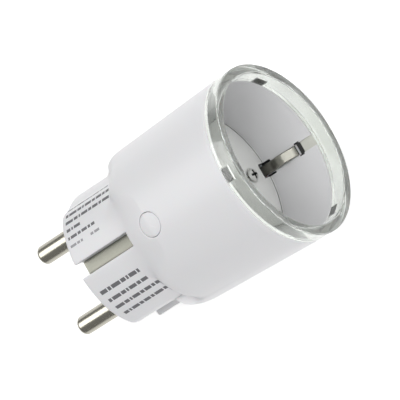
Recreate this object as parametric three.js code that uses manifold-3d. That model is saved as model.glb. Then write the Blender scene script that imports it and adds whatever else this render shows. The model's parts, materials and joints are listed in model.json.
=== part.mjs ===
// Round smart plug adaptor for a recessed wall socket: a plug section with two pins at one end,
// a socket recess at the other, a relay and a radio between them.
// Frame: origin at the centre of the plug face, +Y into the wall, X along the line of the pins,
// +Z towards the push button. "depth" below is the distance in front of the plug face, so y = -depth.
import * as THREE from 'three';
import { mergeVertices } from 'three/addons/utils/BufferGeometryUtils.js';
import Module from 'manifold-3d';

const wasm = await Module();
wasm.setup();

// ---- Driving dimensions, mm ----
const SEGMENTS = 72;
const GAP = 0.3;

const BODY_LENGTH = 54.2;
const BODY_MOUTH_RADIUS = 21.65;
const BODY_REAR_RADIUS = 20.35;
const BODY_REAR_DEPTH = 17.6;
const HOUSING_END = 50.2;
const LEDGE_DEPTH = HOUSING_END - 2.6;
const LEDGE_RADIUS = 20.95;
const OUTSIDE = 24;
const PLUG_SIDE_RADIUS = 16.9;
const PLUG_CORNER_RADIUS = 18.1;
const PLUG_TOP_RADIUS = 17.7;
const FACE_EDGE = 0.5;
const FACE_WALL = 2.2;

const PIN_SPACING = 19.0;
const PIN_RADIUS = 2.4;
const PIN_LENGTH = 19.0;
const PIN_X = PIN_SPACING / 2;

const SLOT_WIDTH = 3.6;
const SLOT_END = 17.7;
const STRIP_WIDTH = 3.3;
const STRIP_THICK = 0.6;
const STRIP_RADIUS = 14.5;
const TAB_DEPTH = 8.0;
const SLOT_WALL = 1.2;

const GROOVE_BOTTOM = 15.2;
const GROOVE_WALL = 1.0;
const GROOVE_NEAR = 5.5;
const GROOVE_FAR = 2.2;
const GROOVE_END = 12.6;

const FLOOR_DEPTH = 35.3;
const FLOOR_THICK = 1.6;
const RECESS_FLOOR_RADIUS = 18.9;
const RECESS_MOUTH_RADIUS = 19.2;
const INSERT_RADIUS = 19.9;
const PIN_HOLE_RADIUS = 2.75;

const RING_INNER = 19.3;
const RING_ROUND = 0.45;
const LED_INNER = 19.95;
const LED_OUTER = 20.65;
const LED_HALF = 1.6;
const LED_FRONT = 51.8;
// Degrees about the axis from the button's meridian.
const LED_TURNS = [0, 120, 240];

const BUTTON_DEPTH = 25.8;
const BUTTON_RADIUS = 2.9;
const BUTTON_GAP = 0.15;

const SCREW_Z = 11.9;
const SCREW_HEAD_RADIUS = 1.6;
const CLIP_WIDTH = 2.4;
const CLIP_THICK = 0.5;

const BOARD_DEPTH = 12.1;
const BOARD_THICK = 1.6;
const BOARD_FRONT = BOARD_DEPTH + BOARD_THICK;

// ---- Materials ----
const paint = (color, roughness, metalness = 0, extra = {}) =>
  () => new THREE.MeshStandardMaterial({ color, roughness, metalness, ...extra });
const WHITE_PLASTIC = paint(0xe6e6e8, 0.42);
const GREY_PLASTIC = paint(0xc9cacb, 0.5);
const CLEAR_PLASTIC = paint(0xcfd3cb, 0.08, 0, { transparent: true, opacity: 0.4 });
const NICKEL = paint(0xb9b6a4, 0.25, 1);
const BRASS = paint(0xc2a765, 0.35, 1);
const STEEL = paint(0x9a9c9e, 0.35, 1);
const COPPER = paint(0xb46a3c, 0.45, 1);
const BLACK_RESIN = paint(0x1b1b1d, 0.6);
const BOARD_GREEN = paint(0x1f5a3a, 0.55);
const BOARD_WHITE = paint(0xe4e4dc, 0.5);
const RELAY_BLUE = paint(0x23303a, 0.45);
const ALUMINIUM = paint(0xb4b6ba, 0.35, 1);
const CERAMIC_BLUE = paint(0x2d6fa8, 0.5);
const LED_GREY = paint(0x4a4b49, 0.4);

// ---- Solids ----
function solid(geometry) {
  const bare = geometry.clone();
  bare.deleteAttribute('normal');
  bare.deleteAttribute('uv');
  const merged = mergeVertices(bare, 1e-4);
  const corners = merged.index.array;
  const kept = [];
  for (let i = 0; i < corners.length; i += 3) {
    const [a, b, c] = [corners[i], corners[i + 1], corners[i + 2]];
    if (a !== b && b !== c && c !== a) kept.push(a, b, c);
  }
  const vertProperties = new Float32Array(merged.attributes.position.array);
  const mesh = new wasm.Mesh({ numProp: 3, vertProperties, triVerts: new Uint32Array(kept) });
  return new wasm.Manifold(mesh);
}

function geometryOf(manifold) {
  const mesh = manifold.getMesh();
  const geometry = new THREE.BufferGeometry();
  geometry.setAttribute('position', new THREE.BufferAttribute(new Float32Array(mesh.vertProperties), 3));
  geometry.setIndex(new THREE.BufferAttribute(new Uint32Array(mesh.triVerts), 1));
  geometry.computeVertexNormals();
  return geometry;
}

// A box from low to high corner, given as [x, depth, z].
function block([x0, d0, z0], [x1, d1, z1]) {
  const box = new THREE.BoxGeometry(x1 - x0, d1 - d0, z1 - z0);
  box.translate((x0 + x1) / 2, -(d0 + d1) / 2, (z0 + z1) / 2);
  return solid(box);
}

// A round bar along the plug's axis, from depth d0 to d1.
function barAlongDepth(radius, d0, d1, x = 0, z = 0, sides = 24) {
  const bar = new THREE.CylinderGeometry(radius, radius, d1 - d0, sides);
  bar.translate(x, -(d0 + d1) / 2, z);
  return solid(bar);
}

// A round bar along Z, from z0 to z1.
function barAlongZ(radius, z0, z1, depth, sides = 24) {
  const bar = new THREE.CylinderGeometry(radius, radius, z1 - z0, sides);
  bar.rotateX(Math.PI / 2);
  bar.translate(0, -depth, (z0 + z1) / 2);
  return solid(bar);
}

// A solid of revolution about the plug's axis from a closed profile of [radius, depth] points.
function turned(profile, segments = SEGMENTS) {
  const points = profile.map(([r, d]) => new THREE.Vector2(r, -d));
  if (THREE.ShapeUtils.area(points) < 0) points.reverse();
  points.push(points[0].clone());
  const shape = solid(new THREE.LatheGeometry(points, segments));
  return shape.volume() < 0 ? solid(flipped(new THREE.LatheGeometry(points, segments))) : shape;
}

function flipped(geometry) {
  const index = geometry.index.array;
  for (let i = 0; i < index.length; i += 3) [index[i + 1], index[i + 2]] = [index[i + 2], index[i + 1]];
  return geometry;
}

// A flat shape in X and Z, drawn as [x, z] points, as thick as from depth d0 to d1.
function plate(points, d0, d1) {
  const shape = new THREE.Shape(points.map(([x, z]) => new THREE.Vector2(x, z)));
  const slab = new THREE.ExtrudeGeometry(shape, { depth: d1 - d0, bevelEnabled: false });
  slab.rotateX(Math.PI / 2);
  slab.translate(0, -d0, 0);
  return solid(slab);
}

// A bent strip: its side view is drawn as [z, depth] points and it is `width` wide along X.
function bentStrip(points, width) {
  const shape = new THREE.Shape(points.map(([z, d]) => new THREE.Vector2(z, -d)));
  const strip = new THREE.ExtrudeGeometry(shape, { depth: width, bevelEnabled: false });
  strip.translate(0, 0, -width / 2);
  strip.rotateY(-Math.PI / 2);
  return solid(strip);
}

const mirrorZ = (manifold) => manifold.mirror([0, 0, 1]);
const mirrorX = (manifold) => manifold.mirror([1, 0, 0]);

// ---- Body surface ----
const bodyRadius = (depth) => {
  const taper = (BODY_MOUTH_RADIUS - BODY_REAR_RADIUS) / (HOUSING_END - BODY_REAR_DEPTH);
  return BODY_REAR_RADIUS + (depth - BODY_REAR_DEPTH) * taper;
};

const bezier = (from, control, to, steps) => {
  const [a, b, c] = [from, control, to].map(([d, r]) => new THREE.Vector2(d, r));
  return new THREE.QuadraticBezierCurve(a, b, c).getPoints(steps).map((p) => [p.x, p.y]);
};

const faceEdge = (radius) => [0, 1, 2, 3].map((i) => {
  const turn = (i / 3) * (Math.PI / 2);
  return [FACE_EDGE * (1 - Math.cos(turn)), radius - FACE_EDGE * (1 - Math.sin(turn))];
});

const bodyLine = (depths) => depths.map((d) => [d, bodyRadius(d)]);

// The body comes back furthest beside the pins, has a steep shoulder at the plug section's corners
// and a long ramp on the button's side.
const SIDE_OUTLINE = [
  ...faceEdge(PLUG_SIDE_RADIUS),
  ...bezier([9.6, PLUG_SIDE_RADIUS], [11.2, PLUG_SIDE_RADIUS], [12.1, 18.4], 4),
  ...bezier([12.1, 18.4], [13.3, 20.2], [BODY_REAR_DEPTH, BODY_REAR_RADIUS], 6).slice(1),
  ...bodyLine([26, 38, HOUSING_END]),
];
const CORNER_OUTLINE = [
  ...faceEdge(PLUG_CORNER_RADIUS),
  ...bezier([15.7, PLUG_CORNER_RADIUS], [16.3, PLUG_CORNER_RADIUS], [16.95, 19.1], 4),
  ...bezier([16.95, 19.1], [17.8, 20.35], [20.4, bodyRadius(20.4)], 6).slice(1),
  ...bodyLine([28, 38, HOUSING_END]),
];
const TOP_OUTLINE = [
  ...faceEdge(PLUG_TOP_RADIUS),
  ...bezier([10.5, 17.9], [15.5, 18.0], [18.6, 18.95], 4),
  ...bezier([18.6, 18.95], [21.7, 19.95], [25.4, bodyRadius(25.4)], 6).slice(1),
  ...bodyLine([30, 38, HOUSING_END]),
];
const CAVITY_FRONT = INSERT_RADIUS + 0.15;
const CAVITY_REAR = 15.2;
const CAVITY_TUBE_FROM = 32;
const SIDE_CAVITY = [
  [FACE_WALL, CAVITY_REAR], [12.4, CAVITY_REAR], [15.0, 18.5], [24, 19.4],
  [CAVITY_TUBE_FROM, CAVITY_FRONT], [LEDGE_DEPTH, CAVITY_FRONT],
];
const CORNER_CAVITY = [
  [FACE_WALL, CAVITY_REAR], [15.4, 15.3], [18.0, 17.4], [22.6, 19.25],
  [CAVITY_TUBE_FROM, CAVITY_FRONT], [LEDGE_DEPTH, CAVITY_FRONT],
];
const TOP_CAVITY = [
  [FACE_WALL, CAVITY_REAR], [16.4, 15.3], [19.4, 17.4], [22.2, 19.15],
  [CAVITY_TUBE_FROM, CAVITY_FRONT], [LEDGE_DEPTH, CAVITY_FRONT],
];
// The body's rear wings sit a little above the pin line on one side and below it on the other.
const WING_ANGLE = THREE.MathUtils.degToRad(7);
// Sine of the angle from a wing where the shoulder moves forward and where the corner radius grows.
const SHOULDER_FROM = 0.03;
const SHOULDER_FULL = 0.5;
const CORNER_FROM = 0.4;
const CORNER_FULL = 0.62;
// Sine of the angle from the pin line where the shoulder turns into the button's ramp.
const RAMP_FROM = 0.8;
const RAMP_FULL = 0.98;

// Turns three outlines of [depth, radius] points about the axis, blending from each to the next.
function blendedTurn(sideOutline, cornerOutline, topOutline) {
  const last = sideOutline.length - 1;
  const rows = [[0, sideOutline[0][0]], ...sideOutline.map(([d, r]) => [r, d]), [0, sideOutline[last][0]]];
  const lathe = new THREE.LatheGeometry(rows.map(([r, d]) => new THREE.Vector2(r, -d)), SEGMENTS);
  const place = lathe.attributes.position;
  const { lerp, smoothstep } = THREE.MathUtils;
  for (let i = 0; i < place.count; i += 1) {
    const row = (i % rows.length) - 1;
    if (row < 0 || row > last) continue;
    const angle = Math.atan2(place.getZ(i), place.getX(i));
    const fromWing = Math.abs(Math.sin(angle - WING_ANGLE));
    const ramp = smoothstep(Math.abs(Math.sin(angle)), RAMP_FROM, RAMP_FULL);
    const rises = [
      smoothstep(fromWing, SHOULDER_FROM, SHOULDER_FULL),
      smoothstep(fromWing, CORNER_FROM, CORNER_FULL),
    ];
    const [depth, radius] = rises.map((rise, k) => {
      const low = lerp(sideOutline[row][k], cornerOutline[row][k], rise);
      return lerp(low, topOutline[row][k], ramp);
    });
    place.setXYZ(i, radius * Math.cos(angle), -depth, radius * Math.sin(angle));
  }
  const shape = solid(lathe);
  return shape.volume() < 0 ? solid(flipped(lathe)) : shape;
}

const bodySurface = blendedTurn(SIDE_OUTLINE, CORNER_OUTLINE, TOP_OUTLINE);

// The earth slots and guide grooves are deeper than the wall, so each has its own wall behind it.
function makeHousing() {
  const slotFloor = STRIP_RADIUS - STRIP_THICK - GAP;
  const slotHalf = SLOT_WIDTH / 2;
  const slotWallHalf = slotHalf + SLOT_WALL;
  const slotBack = slotFloor - SLOT_WALL;
  const slotWallTop = 17;
  const slotWallEnd = SLOT_END + SLOT_WALL;
  const slotWall = block([-slotWallHalf, FACE_EDGE, slotBack], [slotWallHalf, slotWallEnd, slotWallTop]);
  const grooveBack = GROOVE_BOTTOM - GROOVE_WALL;
  const grooveWallEnd = GROOVE_END + 1.9;
  const grooveWallLow = -6;
  const grooveWallHigh = 8;
  const grooveWall = block(
    [-GROOVE_BOTTOM - 1.4, FACE_EDGE, grooveWallLow],
    [-grooveBack, grooveWallEnd, grooveWallHigh],
  );
  const beyond = HOUSING_END + 1;
  const ledge = turned([
    [0, LEDGE_DEPTH - 0.4], [LEDGE_RADIUS, LEDGE_DEPTH], [LEDGE_RADIUS, beyond], [0, beyond],
  ]);
  const shell = bodySurface.subtract(blendedTurn(SIDE_CAVITY, CORNER_CAVITY, TOP_CAVITY)).subtract(ledge)
    .add(slotWall).add(mirrorZ(slotWall))
    .add(grooveWall).add(mirrorX(mirrorZ(grooveWall)))
    .intersect(bodySurface);
  const slot = block([-slotHalf, -1, slotFloor], [slotHalf, SLOT_END, OUTSIDE]);
  const [windowBack, windowFront] = [TAB_DEPTH - GAP, TAB_DEPTH + STRIP_THICK + GAP];
  const tabWindow = block([-slotHalf, windowBack, slotBack - 1], [slotHalf, windowFront, slotFloor + 1]);
  const groove = block([-OUTSIDE, -1, -GROOVE_FAR], [-GROOVE_BOTTOM, GROOVE_END, GROOVE_NEAR]);
  const pinHole = barAlongDepth(PIN_RADIUS + 0.15, -1, FACE_WALL + 1, PIN_X, 0, 32);
  const buttonHole = barAlongZ(BUTTON_RADIUS + BUTTON_GAP, 15, OUTSIDE, BUTTON_DEPTH, 40);
  const cuts = [
    slot, mirrorZ(slot), tabWindow, mirrorZ(tabWindow), groove, mirrorX(mirrorZ(groove)),
    pinHole, mirrorX(pinHole), buttonHole,
  ];
  return cuts.reduce((body, cut) => body.subtract(cut), shell);
}

// ---- Socket end ----
const clipSlotHalf = CLIP_WIDTH / 2 + 0.4;

function makeSocketInsert() {
  const back = FLOOR_DEPTH - FLOOR_THICK;
  const profile = [
    [0, back], [INSERT_RADIUS - 0.6, back], [INSERT_RADIUS, back + 0.6], [INSERT_RADIUS, LEDGE_DEPTH],
    [19.8, LEDGE_DEPTH + 0.1], [19.8, HOUSING_END], [RECESS_MOUTH_RADIUS, HOUSING_END],
    [RECESS_FLOOR_RADIUS, FLOOR_DEPTH + 0.6], [RECESS_FLOOR_RADIUS - 0.6, FLOOR_DEPTH], [0, FLOOR_DEPTH],
  ];
  const clipSlot = block([-clipSlotHalf, 30, 16.1], [clipSlotHalf, 45.8, 22]);
  const pinHole = barAlongDepth(PIN_HOLE_RADIUS, 30, 38, PIN_X, 0, 32);
  const screwHole = barAlongDepth(1.2, 30, 38, 0, SCREW_Z, 20);
  return [clipSlot, mirrorZ(clipSlot), pinHole, mirrorX(pinHole), screwHole, mirrorZ(screwHole)]
    .reduce((body, cut) => body.subtract(cut), turned(profile));
}

function makeLightRing() {
  const back = HOUSING_END + 0.1;
  const outer = BODY_MOUTH_RADIUS + 0.03;
  const front = BODY_LENGTH;
  const ring = turned([
    [RING_INNER, back], [outer, back], [outer, front - RING_ROUND],
    [outer - RING_ROUND * 0.3, front - RING_ROUND * 0.3], [outer - RING_ROUND, front],
    [RING_INNER + RING_ROUND, front], [RING_INNER + RING_ROUND * 0.3, front - RING_ROUND * 0.3],
    [RING_INNER, front - RING_ROUND],
  ]);
  const pocketHalf = LED_HALF + 0.2;
  const [pocketIn, pocketOut] = [LED_INNER - 0.05, LED_OUTER + 0.15];
  const pocket = block([-pocketHalf, 48, pocketIn], [pocketHalf, LED_FRONT + 0.2, pocketOut]);
  return LED_TURNS.reduce((body, turn) => body.subtract(pocket.rotate([0, turn, 0])), ring);
}

const BOARD_RING_BACK = LEDGE_DEPTH + 0.5;
const BOARD_RING_FRONT = BOARD_RING_BACK + 0.8;
const makeLightBoard = () => turned([
  [20.05, BOARD_RING_BACK], [20.8, BOARD_RING_BACK], [20.8, BOARD_RING_FRONT], [20.05, BOARD_RING_FRONT],
]);

// Each lamp stands on the light board with its lens facing outwards, inside a pocket of the ring.
function makeLed(turn) {
  const back = BOARD_RING_FRONT + 0.1;
  const lensHalf = LED_HALF - 0.5;
  const rim = 0.45;
  return block([-LED_HALF, back, LED_INNER], [LED_HALF, LED_FRONT, LED_OUTER])
    .subtract(block([-lensHalf, back + 1.2, LED_OUTER - 0.2], [lensHalf, LED_FRONT - rim, LED_OUTER + 1]))
    .rotate([0, turn, 0]);
}

// The clip runs straight up the wall of the recess with one rounded bump towards the axis.
function makeEarthClip() {
  const rest = 18.95;
  const bump = 1.7;
  const inner = [];
  const outer = [];
  const steps = 14;
  for (let i = 0; i <= steps; i += 1) {
    const depth = 36.5 + (i / steps) * 8.3;
    const lift = bump * Math.sin((i / steps) * Math.PI) ** 2;
    inner.push([rest - CLIP_THICK / 2 - lift, depth]);
    outer.unshift([rest + CLIP_THICK / 2 - lift, depth]);
  }
  const foot = 31.6;
  const side = [[rest - CLIP_THICK / 2, foot], ...inner, ...outer, [rest + CLIP_THICK / 2, foot]];
  return bentStrip(side, CLIP_WIDTH);
}

function makeFloorScrew() {
  const top = FLOOR_DEPTH + 0.1;
  const head = turned([
    [0, top], [SCREW_HEAD_RADIUS, top], [SCREW_HEAD_RADIUS, top + 0.7],
    [SCREW_HEAD_RADIUS - 0.5, top + 1.25], [0, top + 1.35],
  ], 24).translate(0, 0, SCREW_Z);
  const shank = barAlongDepth(1.0, 29.8, top + 0.2, 0, SCREW_Z, 16);
  const reach = 1.05;
  const half = 0.25;
  const arm = block([-reach, top + 0.5, SCREW_Z - half], [reach, top + 2, SCREW_Z + half]);
  const cross = block([-half, top + 0.5, SCREW_Z - reach], [half, top + 2, SCREW_Z + reach]);
  return head.add(shank).subtract(arm.add(cross));
}

// ---- Safety shutter ----
const CARRIER_BACK = 30.9;
const CARRIER_FRONT = 31.9;
const SHUTTER_BACK = 32.2;
const SHUTTER_FRONT = 33.4;

function makeShutterCarrier() {
  const disc = turned([[0, CARRIER_BACK], [16, CARRIER_BACK], [16, CARRIER_FRONT], [0, CARRIER_FRONT]], 48);
  const post = barAlongDepth(1.5, CARRIER_FRONT - 0.5, SHUTTER_FRONT, 0, 0, 20);
  const boss = barAlongDepth(2.2, CARRIER_FRONT - 0.5, SHUTTER_FRONT, 0, SCREW_Z, 20);
  const screwHole = barAlongDepth(1.2, 30, 35, 0, SCREW_Z, 20);
  const pinHole = barAlongDepth(2.9, 30, 35, PIN_X, 0, 32);
  const solidCarrier = disc.add(post).add(boss).add(mirrorZ(boss));
  return [screwHole, mirrorZ(screwHole), pinHole, mirrorX(pinHole)]
    .reduce((body, cut) => body.subtract(cut), solidCarrier);
}

function makeShutter() {
  const hub = barAlongDepth(3.7, SHUTTER_BACK, SHUTTER_FRONT, 0, 0, 32);
  const blades = plate([[-13, -3.1], [13, -3.1], [13.4, 0], [13, 3.1], [-13, 3.1], [-13.4, 0]],
    SHUTTER_BACK, SHUTTER_FRONT);
  const bore = barAlongDepth(1.65, 30, 35, 0, 0, 20);
  const springWell = barAlongDepth(2.9, SHUTTER_BACK + 0.4, 35, 0, 0, 28);
  return hub.add(blades).subtract(bore).subtract(springWell);
}

// Two open turns of wire, joined at one end of the gap.
function makeShutterSpring() {
  const wire = 0.15;
  const mean = 2.25;
  const turnAt = (depth) => turned([0, 1, 2, 3, 4, 5].map((corner) => {
    const angle = (corner / 6) * 2 * Math.PI;
    return [mean + wire * Math.cos(angle), depth + wire * Math.sin(angle)];
  }), 32);
  const [first, second] = [SHUTTER_BACK + 0.6, SHUTTER_BACK + 1.0];
  const gap = block([1, 30, -0.5], [3, 35, 0.5]);
  const join = block([mean - 0.4, first - wire * 0.6, 0.4], [mean + 0.05, second + wire * 0.6, 0.7]);
  return turnAt(first).add(turnAt(second)).subtract(gap).add(join);
}

// ---- Contacts ----
function makePin() {
  const tip = -PIN_LENGTH;
  const profile = [
    [0, tip], [PIN_RADIUS - 1.1, tip], [PIN_RADIUS - 0.35, tip + 0.35], [PIN_RADIUS, tip + 1.2],
    [PIN_RADIUS, 2.5], [3.4, 2.5], [3.4, 3.9], [1.5, 3.9], [1.5, BOARD_FRONT + 0.9], [0, BOARD_FRONT + 0.9],
  ];
  return turned(profile, 32).translate(PIN_X, 0, 0);
}

function makePinRetainer() {
  const bar = block([-12.8, 4.2, -4.4], [12.8, 5.8, 4.4]);
  const hole = barAlongDepth(1.8, 4, 6, PIN_X, 0, 20);
  return bar.subtract(hole).subtract(mirrorX(hole));
}

function makeReceptacle() {
  const tube = turned([[2.5, 17], [3.2, 17], [3.2, 30.2], [2.9, 30.5], [2.5, 30.5]], 28);
  const slit = block([-4, 20, -0.4], [0, 32, 0.4]);
  const tail = block([2.6, BOARD_FRONT + GAP, -1.4], [3.15, 19, 1.4]);
  return tube.subtract(slit).add(tail).translate(PIN_X, 0, 0);
}

function makeEarthStrip() {
  const inside = STRIP_RADIUS - STRIP_THICK;
  return bentStrip([
    [STRIP_RADIUS, 0.5], [STRIP_RADIUS, SLOT_END - GAP], [inside, SLOT_END - GAP],
    [inside, TAB_DEPTH + STRIP_THICK], [10.6, TAB_DEPTH + STRIP_THICK],
    [10.6, TAB_DEPTH], [inside, TAB_DEPTH], [inside, 0.5],
  ], STRIP_WIDTH);
}

const makeEarthYoke = () => block([-1.7, 9.0, -12.1], [1.7, 9.8, 12.1]);
const makeEarthLink = () => block([-1.5, 10.1, -11.35], [1.5, 29.5, -10.75]);

function makeEarthBridge() {
  const back = 29.9;
  const front = back + 0.6;
  const side = [[-0.5, back], [18.3, back], [18.3, 33.2], [17.7, 33.2], [17.7, front], [-0.5, front]];
  const half = bentStrip(side, 4);
  const screwHole = barAlongDepth(1.2, 29, 32, 0, SCREW_Z, 20);
  return half.add(mirrorZ(half)).subtract(screwHole).subtract(mirrorZ(screwHole));
}

// ---- Power board ----
function makePowerBoard() {
  const flat = GROOVE_BOTTOM - GROOVE_WALL - GAP;
  const disc = barAlongDepth(14.8, BOARD_DEPTH, BOARD_FRONT, 0, 0, 56)
    .intersect(block([-flat, 10, -16], [flat, 16, 16]));
  const topNotch = block([-3.6, 10, 12.0], [3.6, 16, 16]);
  const linkNotch = block([-3.6, 10, -16], [3.6, 16, -10.45]);
  const tailHole = barAlongDepth(1.8, 10, 16, PIN_X, 0, 20);
  return [topNotch, linkNotch, tailHole, mirrorX(tailHole)].reduce((body, cut) => body.subtract(cut), disc);
}

const behindBoard = BOARD_DEPTH - GAP;
const makeFilterCapacitor = () => barAlongDepth(3.1, 3.9, behindBoard, 6, 8);
const makeInductor = () => turned([
  [0, 4.8], [2.8, 4.8], [2.8, 5.7], [1.9, 5.9], [1.9, 10.6], [2.8, 10.8],
  [2.8, behindBoard], [0, behindBoard],
], 24).translate(-6, 0, 8);
function makeVaristor() {
  const disc = new THREE.CylinderGeometry(3.5, 3.5, 2.8, 28);
  disc.rotateZ(Math.PI / 2);
  disc.translate(6, -(behindBoard - 3.6), -8.4);
  return solid(disc);
}
const makeFusibleResistor = () => turned([
  [0, 3.4], [1.1, 3.4], [1.7, 4.2], [1.4, 5.2], [1.4, 10.0], [1.7, 10.9],
  [1.1, behindBoard], [0, behindBoard],
], 20).translate(-6, 0, -8);

const chip = (x, z, wide, tall, thick) =>
  block([x - wide / 2, BOARD_FRONT + 0.15, z - tall / 2], [x + wide / 2, BOARD_FRONT + thick, z + tall / 2]);

function makeShunt() {
  const low = BOARD_FRONT + 0.15;
  const bar = block([-9.2, low, -10.2], [-6.8, low + 2.2, -5.4]);
  return bar.subtract(block([-10, low - 1, -9.4], [-6, low + 1.5, -6.2]));
}

// ---- Relay ----
const RELAY_BACK = BOARD_FRONT + GAP;
const RELAY_HALF_X = 5.1;
const RELAY_HALF_Z = 10.25;
const RELAY_WALL = 0.7;
const RELAY_FRONT = 29.3;

function makeRelayCase() {
  const low = [-RELAY_HALF_X, RELAY_BACK, -RELAY_HALF_Z];
  const outside = block(low, [RELAY_HALF_X, RELAY_FRONT, RELAY_HALF_Z]);
  const x = RELAY_HALF_X - RELAY_WALL;
  const z = RELAY_HALF_Z - RELAY_WALL;
  return outside.subtract(block([-x, RELAY_BACK - 1, -z], [x, RELAY_FRONT - RELAY_WALL, z]));
}

const makeRelayBase = () => block([-4.25, RELAY_BACK, -9.4], [4.25, 15.6, 9.4]);
const makeRelayCoil = () => turned([
  [1.5, 17.2], [4.0, 17.2], [4.0, 17.9], [3.6, 18.0], [3.6, 24.4], [4.0, 24.5], [4.0, 25.2], [1.5, 25.2],
], 28).translate(0, 0, -4.7);
const makeRelayCore = () => barAlongDepth(1.3, 16.9, 26.2, 0, -4.7, 20);
const makeRelayYoke = () => bentStrip([
  [-6.5, 15.8], [0.6, 15.8], [0.6, 26.2], [-0.2, 26.2], [-0.2, 16.6], [-6.5, 16.6],
], 7);
const makeRelayArmature = () => block([-3, 26.8, -8], [3, 27.5, 2.3]);
function makeContactLeaf() {
  const leaf = block([-1.6, 18.8, 2.6], [1.6, 27.5, 2.9]);
  return leaf.add(barAlongZ(0.9, 2.7, 3.1, 20, 16));
}
function makeFixedContact() {
  const post = block([-2.2, 15.9, 4.3], [2.2, 23, 4.9]);
  return post.add(barAlongZ(0.9, 3.75, 4.5, 20, 16));
}

// ---- Control board and switch ----
const CONTROL_Z = 13.4;
const CONTROL_TOP = CONTROL_Z + 1.0;
const SWITCH_HALF = 3.0;

const makeControlBoard = () => block([-8, 19.4, CONTROL_Z], [8, 29.4, CONTROL_TOP]);
const makeRadioChip = () => block([-6.4, 21.6, CONTROL_Z - 1.0], [-1.4, 26.6, CONTROL_Z - 0.12]);
const makeCrystal = () => block([2.6, 22.4, CONTROL_Z - 0.9], [5.8, 24.9, CONTROL_Z - 0.12]);
const makeBoardHeader = () => block([4.0, RELAY_BACK, 11.0], [6.8, 20.6, 13.1]);

// The antenna is a flat meander that lies on the board beside the switch.
function makeAntenna() {
  const low = CONTROL_TOP + 0.12;
  const high = low + 0.3;
  const lanes = [20.0, 22.0, 24.0, 26.0, 28.0];
  let track = null;
  lanes.forEach((depth, i) => {
    const lane = block([-7.6, depth, low], [-3.7, depth + 0.7, high]);
    track = track ? track.add(lane) : lane;
    if (i === lanes.length - 1) return;
    const left = i % 2 === 0 ? -7.6 : -4.4;
    track = track.add(block([left, depth, low], [left + 0.7, depth + 2.6, high]));
  });
  return track;
}

function switchBlock(z0, z1) {
  return block([-SWITCH_HALF, BUTTON_DEPTH - SWITCH_HALF, z0], [SWITCH_HALF, BUTTON_DEPTH + SWITCH_HALF, z1]);
}
const makeSwitchBase = () => switchBlock(CONTROL_TOP + 0.1, 15.4);
const makeSwitchCover = () => switchBlock(15.5, 17.3)
  .subtract(barAlongZ(2.45, 15, 16.9, BUTTON_DEPTH))
  .subtract(barAlongZ(1.8, 15, 18, BUTTON_DEPTH));
const makeSwitchPlunger = () => barAlongZ(2.2, 15.9, 16.5, BUTTON_DEPTH)
  .add(barAlongZ(1.6, 16, 18.2, BUTTON_DEPTH));

function makeButtonCap() {
  const cap = barAlongZ(BUTTON_RADIUS, 18.7, 24, BUTTON_DEPTH, 40).intersect(bodySurface);
  return cap.add(barAlongZ(3.5, 18.45, 18.95, BUTTON_DEPTH, 32));
}

// ---- Assembly ----
const assembly = new THREE.Group();
assembly.name = 'smart_plug';

function add(name, shape, material) {
  const geometry = shape instanceof THREE.BufferGeometry ? shape : geometryOf(shape);
  const mesh = new THREE.Mesh(geometry, material());
  mesh.name = name;
  assembly.add(mesh);
}

add('housing', makeHousing(), WHITE_PLASTIC);
add('socket_insert', makeSocketInsert(), WHITE_PLASTIC);
add('light_ring', makeLightRing(), CLEAR_PLASTIC);
add('light_board', makeLightBoard(), BOARD_WHITE);
['top', 'lower_right', 'lower_left'].forEach((place, i) => {
  add(`led_${place}`, makeLed(LED_TURNS[i]), LED_GREY);
});
add('button_cap', makeButtonCap(), WHITE_PLASTIC);

add('plug_pin_right', makePin(), NICKEL);
add('plug_pin_left', mirrorX(makePin()), NICKEL);
add('pin_retainer', makePinRetainer(), GREY_PLASTIC);
add('receptacle_right', makeReceptacle(), BRASS);
add('receptacle_left', mirrorX(makeReceptacle()), BRASS);

add('earth_strip_top', makeEarthStrip(), NICKEL);
add('earth_strip_bottom', mirrorZ(makeEarthStrip()), NICKEL);
add('earth_yoke', makeEarthYoke(), BRASS);
add('earth_link', makeEarthLink(), BRASS);
add('earth_bridge', makeEarthBridge(), STEEL);
add('earth_clip_top', makeEarthClip(), NICKEL);
add('earth_clip_bottom', mirrorZ(makeEarthClip()), NICKEL);
add('floor_screw_top', makeFloorScrew(), STEEL);
add('floor_screw_bottom', mirrorZ(makeFloorScrew()), STEEL);

add('shutter_carrier', makeShutterCarrier(), GREY_PLASTIC);
add('safety_shutter', makeShutter(), WHITE_PLASTIC);
add('shutter_spring', makeShutterSpring(), STEEL);

add('power_board', makePowerBoard(), BOARD_GREEN);
add('filter_capacitor', makeFilterCapacitor(), ALUMINIUM);
add('inductor', makeInductor(), BLACK_RESIN);
add('varistor', makeVaristor(), CERAMIC_BLUE);
add('fusible_resistor', makeFusibleResistor(), CERAMIC_BLUE);
add('rectifier', chip(-8, 7.6, 4.2, 4.6, 1.9), BLACK_RESIN);
add('supply_chip', chip(8, 7.6, 3.9, 4.9, 1.6), BLACK_RESIN);
add('metering_chip', chip(8, -7.6, 3.9, 4.9, 1.6), BLACK_RESIN);
add('current_shunt', makeShunt(), COPPER);

add('relay_base', makeRelayBase(), BLACK_RESIN);
add('relay_case', makeRelayCase(), RELAY_BLUE);
add('relay_coil', makeRelayCoil(), COPPER);
add('relay_core', makeRelayCore(), STEEL);
add('relay_yoke', makeRelayYoke(), STEEL);
add('relay_armature', makeRelayArmature(), STEEL);
add('relay_contact_leaf', makeContactLeaf(), COPPER);
add('relay_fixed_contact', makeFixedContact(), COPPER);

add('control_board', makeControlBoard(), BOARD_GREEN);
add('radio_chip', makeRadioChip(), BLACK_RESIN);
add('crystal', makeCrystal(), STEEL);
add('antenna', makeAntenna(), COPPER);
add('board_header', makeBoardHeader(), BLACK_RESIN);
add('switch_base', makeSwitchBase(), BLACK_RESIN);
add('switch_cover', makeSwitchCover(), STEEL);
add('switch_plunger', makeSwitchPlunger(), BLACK_RESIN);

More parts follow.
